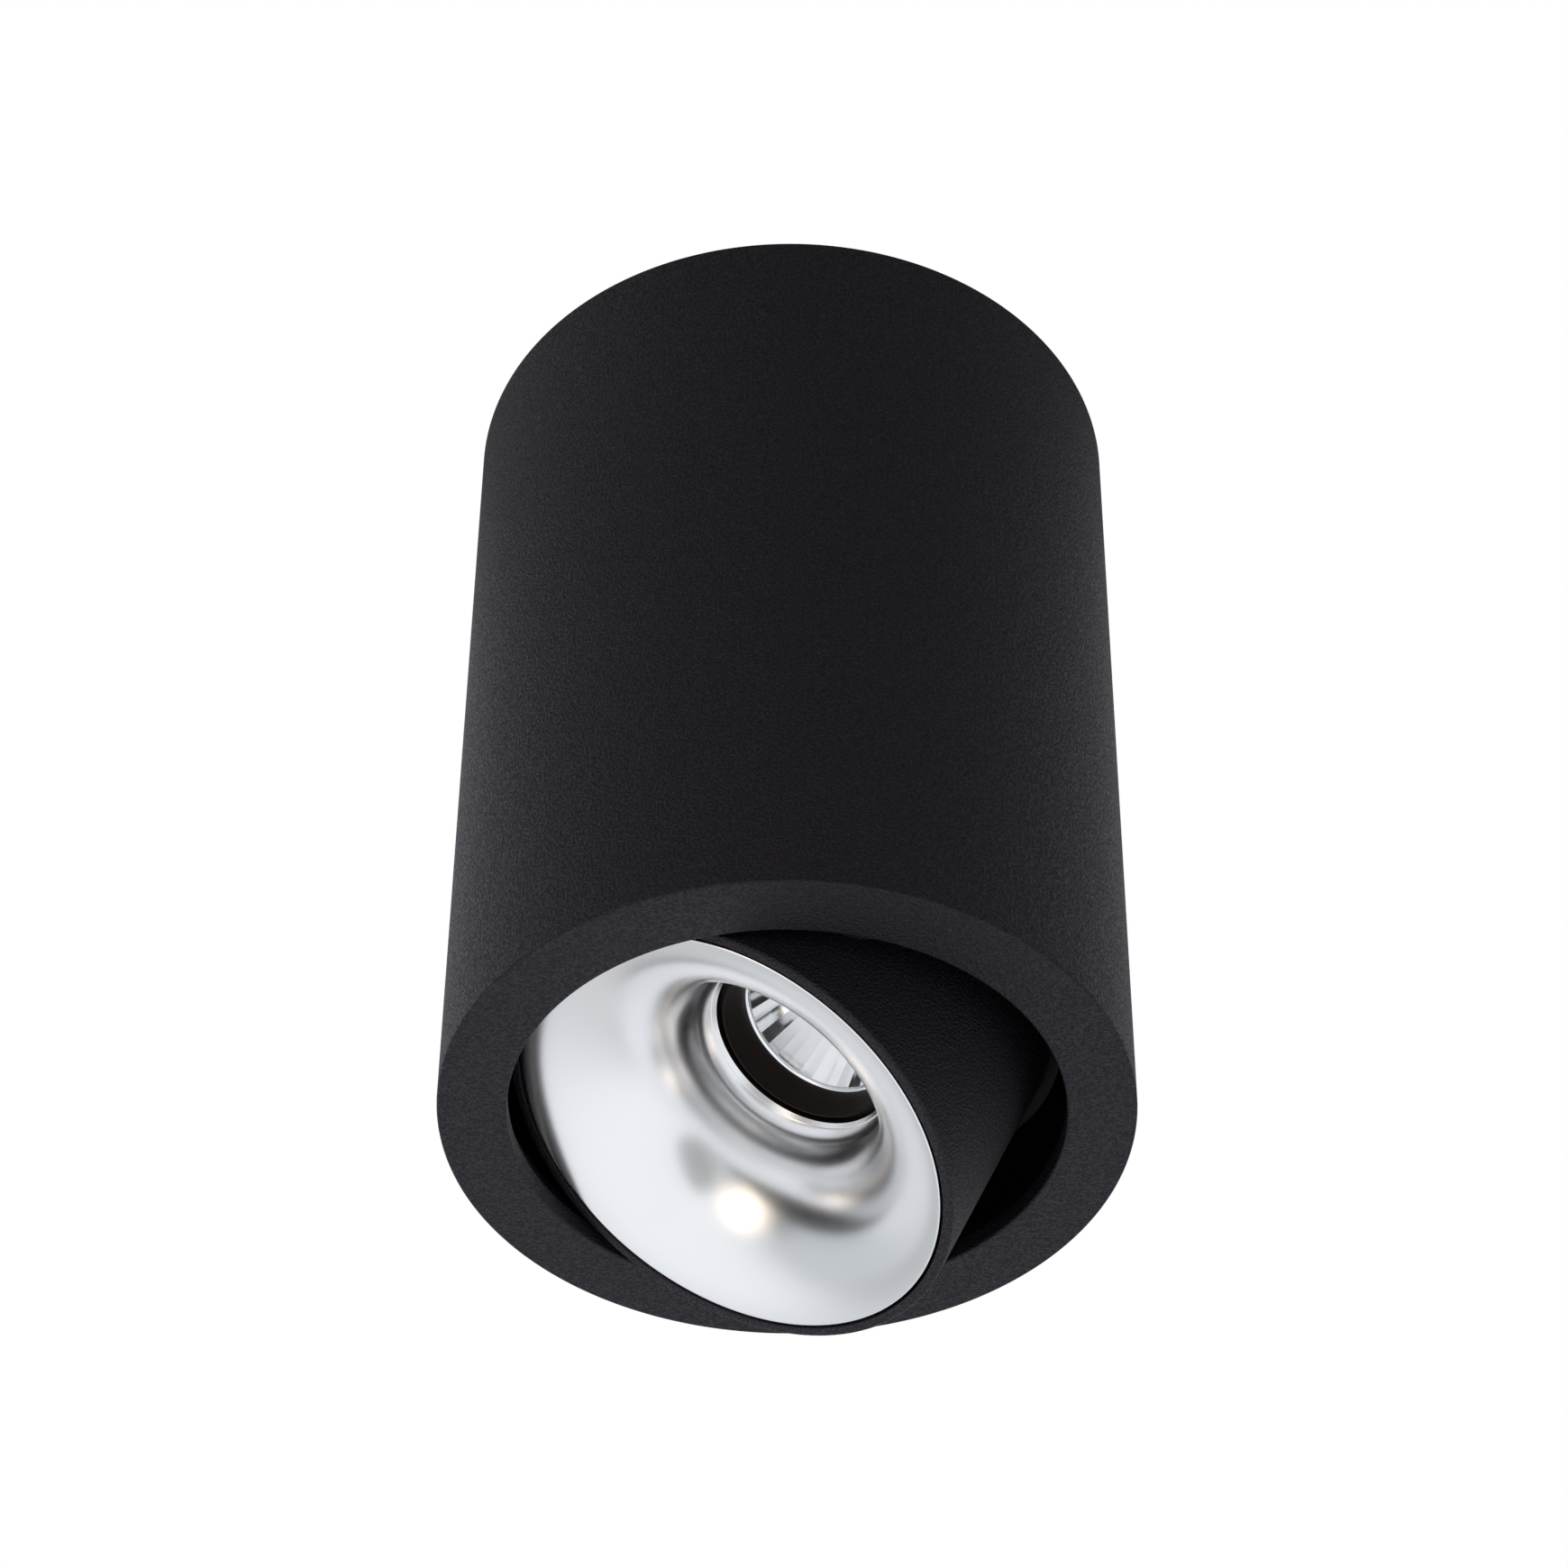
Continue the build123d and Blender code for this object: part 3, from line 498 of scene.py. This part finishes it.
rowHeights = [facetFront + facetLength * row / optic["rows"] for row in range(optic["rows"] + 1)]
loops = [facetLoop(height) for height in reversed(rowHeights)]
lip = optic["lipRound"]
for step in range(optic["lipSteps"] + 1):
    a = math.pi / 2 * step / optic["lipSteps"]
    loops.append(roundLoop(optic["radius"] + lip * (1 - math.cos(a)), facetFront - lip * math.sin(a)))
loops.append(roundLoop(optic["lipRadius"], optic["front"]))
loops.append(roundLoop(optic["lipRadius"], optic["lipBack"]))
loops += [roundLoop(facetRadius(height) + optic["wall"], height) for height in rowHeights[1:]]
work = bmesh.new()
joinLoops(work, loops)
facetedOptic = addPiece("facetedOptic", work, headPlace, optic["crispAngle"])
dress(facetedOptic, "head", "mirror_facets", "faceted_optic")

# Studio, in metres: white to the camera, and for the object dark on the camera's side and bright behind
studio = {
    "white": "#FFFFFF", "shade": "#F7FAFF", "mouthDrop": 0.018,
    "left": 0.8, "right": 0.54, "sideReach": 0.8,  # world's level from left to right
    "near": 0.3, "nearEnd": -0.45, "far": 1.0, "farStart": 0.65,  # and from the camera's side to the back
    "paper": "#F2F2F0", "floorDrop": 0.8, "floorRadius": 4.0, "floorSeen": 0.88, "floorMirrored": 0.97,
    "nearBright": 0.6, "farBright": 2.6, "nearGlow": 1.0, "farGlow": 0.6,  # floor fades outwards
    "backStart": 0.0, "backEnd": 0.8, "backGlow": 0.76,  # and a little more behind the object
}
softbox = {"azimuth": -31, "elevation": -14, "distance": 1.25}
softboxLamp = {"width": 0.5, "height": 0.5, "radiance": 2.0, "colour": "#FFF1E0"}
cards = {
    "softboxFront": {**softbox, "width": 1.2, "height": 1.2, "colour": "#FFF1E0", "solid": 0.0, "glow": 2.3},
    "cameraSide": {
        "azimuth": 12, "elevation": -34, "distance": 0.95,
        "width": 0.9, "height": 0.62, "colour": "#A9AAAA", "solid": 0.6},
    "darkCeiling": {
        "azimuth": 0, "elevation": 48, "distance": 1.3,
        "width": 3.6, "height": 2.2, "colour": "#7E7E7E", "solid": 0.6},
    "overhead": {
        "azimuth": 0, "elevation": 90, "distance": 0.24,
        "width": 0.36, "height": 0.36, "colour": "#202020", "solid": 0.6, "hollow": 0.45},
    "greyBack": {
        "azimuth": 180, "elevation": -22, "distance": 1.2,
        "width": 3.2, "height": 0.9, "colour": "#D6D8DA", "solid": 0.1},
    "greyLeft": {
        "azimuth": -92, "elevation": -4, "distance": 1.4,
        "width": 2.6, "height": 1.0, "colour": "#C8CDD2", "solid": 0.4},
}
hollowEdge = 0.15
mouthCentre = pivot - headBack * studio["mouthDrop"]


def faceMouth(item, azimuth, elevation, distance):
    # place as seen from the mouth, azimuth from the camera's side and growing to the right
    a, e = math.radians(azimuth), math.radians(elevation)
    away = Vector((math.sin(a) * math.cos(e), -math.cos(a) * math.cos(e), math.sin(e)))
    item.location = mouthCentre + distance * away
    item.rotation_euler = (item.location - mouthCentre).to_track_quat("Z", "Y").to_euler()


def addCard(name, azimuth, elevation, distance, width, height, colour, solid, hollow=-1.0, glow=1.0):
    # oval card seen only in reflections, solid up to this share of its width and clear inside the hollow
    w, h = width / 2, height / 2
    mesh = bpy.data.meshes.new(name)
    mesh.from_pydata([(-w, -h, 0), (w, -h, 0), (w, h, 0), (-w, h, 0)], [], [(0, 1, 2, 3)])
    card = addObject(name, mesh)
    faceMouth(card, azimuth, elevation, distance)
    material = bpy.data.materials.new(name)
    tree = emptyTree(material)
    light = addNode(tree, "ShaderNodeEmission", {"Color": linear(colour), "Strength": glow})
    place = addNode(tree, "ShaderNodeTexCoord").outputs["Object"]
    sized = addNode(tree, "ShaderNodeMapping", {"Scale": (1 / w, 1 / h, 1)}, {"Vector": place})
    reach = addNode(tree, "ShaderNodeVectorMath", {"operation": "LENGTH"}, {0: sized.outputs[0]})
    rim = addNode(tree, "ShaderNodeMapRange", {
        "interpolation_type": "SMOOTHSTEP", "From Min": 1.0, "From Max": solid},
        {"Value": reach.outputs["Value"]})
    hole = addNode(tree, "ShaderNodeMapRange", {
        "From Min": hollow, "From Max": hollow + hollowEdge}, {"Value": reach.outputs["Value"]})
    cover = addNode(tree, "ShaderNodeMath", {"operation": "MULTIPLY"}, {
        0: rim.outputs[0], 1: hole.outputs[0]})
    clear = addNode(tree, "ShaderNodeBsdfTransparent")
    blend = addNode(tree, "ShaderNodeMixShader", links={
        0: cover.outputs[0], 1: clear.outputs[0], 2: light.outputs[0]})
    addNode(tree, "ShaderNodeOutputMaterial", links={"Surface": blend.outputs[0]})
    mesh.materials.append(material)
    for ray in ("camera", "diffuse", "transmission", "shadow"):
        setattr(card, "visible_" + ray, False)


def seenDirectly(tree, rays):
    # 1 where the camera looks straight at it or through something clear
    return addNode(tree, "ShaderNodeMath", {"operation": "MAXIMUM"}, {
        0: rays.outputs["Is Camera Ray"], 1: rays.outputs["Is Transmission Ray"]}).outputs[0]


def studioWhite(tree, seen):
    # plain white where it is seen, a trace of blue in the light it gives
    return addNode(tree, "ShaderNodeMix", {
        "data_type": "RGBA", 6: linear(studio["shade"]), 7: linear(studio["white"])}, {0: seen}).outputs[2]


world = bpy.data.worlds.new("whiteStudio")
bpy.context.scene.world = world
tree = emptyTree(world)
seen = seenDirectly(tree, addNode(tree, "ShaderNodeLightPath"))
sky = addNode(tree, "ShaderNodeTexCoord").outputs["Generated"]
way = addNode(tree, "ShaderNodeSeparateXYZ", links={0: sky})
sides = addNode(tree, "ShaderNodeMapRange", {
    "From Min": -studio["sideReach"], "From Max": studio["sideReach"],
    "To Min": studio["left"], "To Max": studio["right"]}, {"Value": way.outputs["X"]})
deeper = addNode(tree, "ShaderNodeMapRange", {
    "interpolation_type": "SMOOTHSTEP", "From Min": studio["nearEnd"], "From Max": studio["farStart"],
    "To Min": studio["near"], "To Max": studio["far"]}, {"Value": way.outputs["Y"]})
level = addNode(tree, "ShaderNodeMath", {"operation": "MULTIPLY"}, {
    0: sides.outputs[0], 1: deeper.outputs[0]})
strength = addNode(tree, "ShaderNodeMath", {"operation": "MAXIMUM"}, {0: level.outputs[0], 1: seen})
back = addNode(tree, "ShaderNodeBackground", links={
    "Color": studioWhite(tree, seen), "Strength": strength.outputs[0]})
addNode(tree, "ShaderNodeOutputWorld", links={"Surface": back.outputs[0]})

# the floor glows as far as it is seen or mirrored, and is paper otherwise, so the shadow stays
floorMesh = bpy.data.meshes.new("paleFloor")
work = bmesh.new()
bmesh.ops.create_circle(work, cap_ends=True, radius=studio["floorRadius"], segments=96)
work.to_mesh(floorMesh)
work.free()
floor = addObject("paleFloor", floorMesh)
floor.location.z = -studio["floorDrop"]
floorPaint = bpy.data.materials.new("palePaper")
tree = emptyTree(floorPaint)
place = addNode(tree, "ShaderNodeTexCoord").outputs["Object"]
reach = addNode(tree, "ShaderNodeVectorMath", {"operation": "LENGTH"}, {0: place})
outward = addNode(tree, "ShaderNodeMapRange", {
    "interpolation_type": "SMOOTHSTEP", "From Min": studio["nearBright"], "From Max": studio["farBright"],
    "To Min": studio["nearGlow"], "To Max": studio["farGlow"]}, {"Value": reach.outputs["Value"]})
parts = addNode(tree, "ShaderNodeSeparateXYZ", links={0: place})
behind = addNode(tree, "ShaderNodeMapRange", {
    "interpolation_type": "SMOOTHSTEP", "From Min": studio["backStart"], "From Max": studio["backEnd"],
    "To Min": 1.0, "To Max": studio["backGlow"]}, {"Value": parts.outputs["Y"]})
fall = addNode(tree, "ShaderNodeMath", {"operation": "MULTIPLY"}, {
    0: outward.outputs[0], 1: behind.outputs[0]})
rays = addNode(tree, "ShaderNodeLightPath")
seen = seenDirectly(tree, rays)
bright = addNode(tree, "ShaderNodeMath", {"operation": "MAXIMUM"}, {0: fall.outputs[0], 1: seen})
glow = addNode(tree, "ShaderNodeEmission", links={
    "Color": studioWhite(tree, seen), "Strength": bright.outputs[0]})
paper = addNode(tree, "ShaderNodeBsdfDiffuse", {"Color": linear(studio["paper"])})
direct = addNode(tree, "ShaderNodeMath", {"operation": "MULTIPLY", 1: studio["floorSeen"]}, {0: seen})
mirrored = addNode(tree, "ShaderNodeMath", {
    "operation": "MULTIPLY", 1: studio["floorMirrored"]}, {0: rays.outputs["Is Glossy Ray"]})
share = addNode(tree, "ShaderNodeMath", {"operation": "MAXIMUM"}, {
    0: direct.outputs[0], 1: mirrored.outputs[0]})
blend = addNode(tree, "ShaderNodeMixShader", links={
    0: share.outputs[0], 1: paper.outputs[0], 2: glow.outputs[0]})
addNode(tree, "ShaderNodeOutputMaterial", links={"Surface": blend.outputs[0]})
floorMesh.materials.append(floorPaint)

# warm lamp to the left of the camera
lamp = bpy.data.lights.new("warmSoftbox", "AREA")
lamp.shape = "ELLIPSE"
lamp.size, lamp.size_y = softboxLamp["width"], softboxLamp["height"]
lamp.energy = softboxLamp["radiance"] * math.pi * softboxLamp["width"] * softboxLamp["height"]
lamp.color = linear(softboxLamp["colour"])[:3]
lampObject = addObject("warmSoftbox", lamp)
faceMouth(lampObject, **softbox)
lampObject.visible_camera = False
lampObject.visible_glossy = False  # the bell shows its soft front instead
for cardName, card in cards.items():
    addCard(cardName, **card)
print("studio made:", len(cards), "cards")

# Camera
camera = {
    "place": (0, -0.52264, -0.57502), "yaw": -0.00155097, "pitch": 0.76999938, "roll": 0.00825271,
    "lens": 109.6, "sensor": 36,
}
view = bpy.data.cameras.new("photoView")
view.sensor_width = camera["sensor"]
view.lens = camera["lens"]
viewer = addObject("photoView", view)
yaw, pitch, roll = camera["yaw"], camera["pitch"], camera["roll"]
ahead = Vector((math.sin(yaw) * math.cos(pitch), math.cos(yaw) * math.cos(pitch), math.sin(pitch)))
sideways = Vector((math.cos(yaw), -math.sin(yaw), 0))
upright = sideways.cross(ahead)
viewRight = math.cos(roll) * sideways + math.sin(roll) * upright
viewUp = -math.sin(roll) * sideways + math.cos(roll) * upright
look = Matrix((viewRight, viewUp, -ahead)).transposed().to_4x4()
look.translation = camera["place"]
viewer.matrix_world = look
bpy.context.scene.camera = viewer
bpy.context.scene.view_settings.view_transform = "Standard"
print("camera placed")
